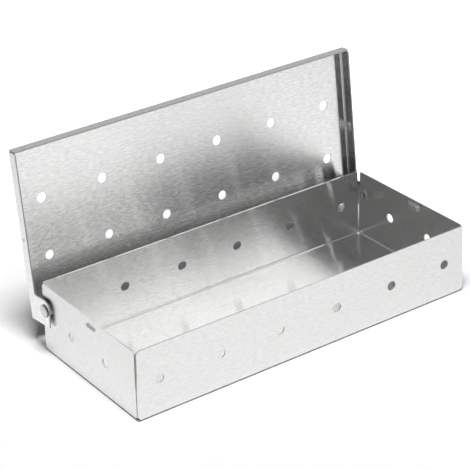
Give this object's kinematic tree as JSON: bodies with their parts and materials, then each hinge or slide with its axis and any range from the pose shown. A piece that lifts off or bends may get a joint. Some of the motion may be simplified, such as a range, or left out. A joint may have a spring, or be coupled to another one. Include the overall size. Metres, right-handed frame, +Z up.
{
  "type": "grill smoker box",
  "caption": "Long shallow sheet steel box for smoking wood chips on a grill, with rows of vents in its walls and a flanged, vented lid that turns on rivets at the back.",
  "frame": {"origin": "middle of the tray's underside, on the surface that the box stands on", "axes": "+X along the box to the right, +Y to the back where the hinge is, +Z up"},
  "size_m": [0.227, 0.1122, 0.115],
  "materials": {
    "tray_sheet": "fine brushed, grain along the length of the blank",
    "lid_sheet": "fine brushed, grain along the length of the blank",
    "rivet_steel": "bright, set by a die",
    "spacer_steel": "plain punched"
  },
  "bodies": {
    "tray": {"base_tray": "tray_sheet", "left_rivet": "rivet_steel", "right_rivet": "rivet_steel", "left_spacer": "spacer_steel", "right_spacer": "spacer_steel"},
    "lid": {"lid": "lid_sheet"}
  },
  "joints": [
    {"name": "lid_hinge", "type": "hinge", "parent": "tray", "child": "lid", "pos_m": [0, 0.0403, 0.0276], "axis": [-1, 0, 0], "range_deg": [-96.9, 34]}
  ]
}
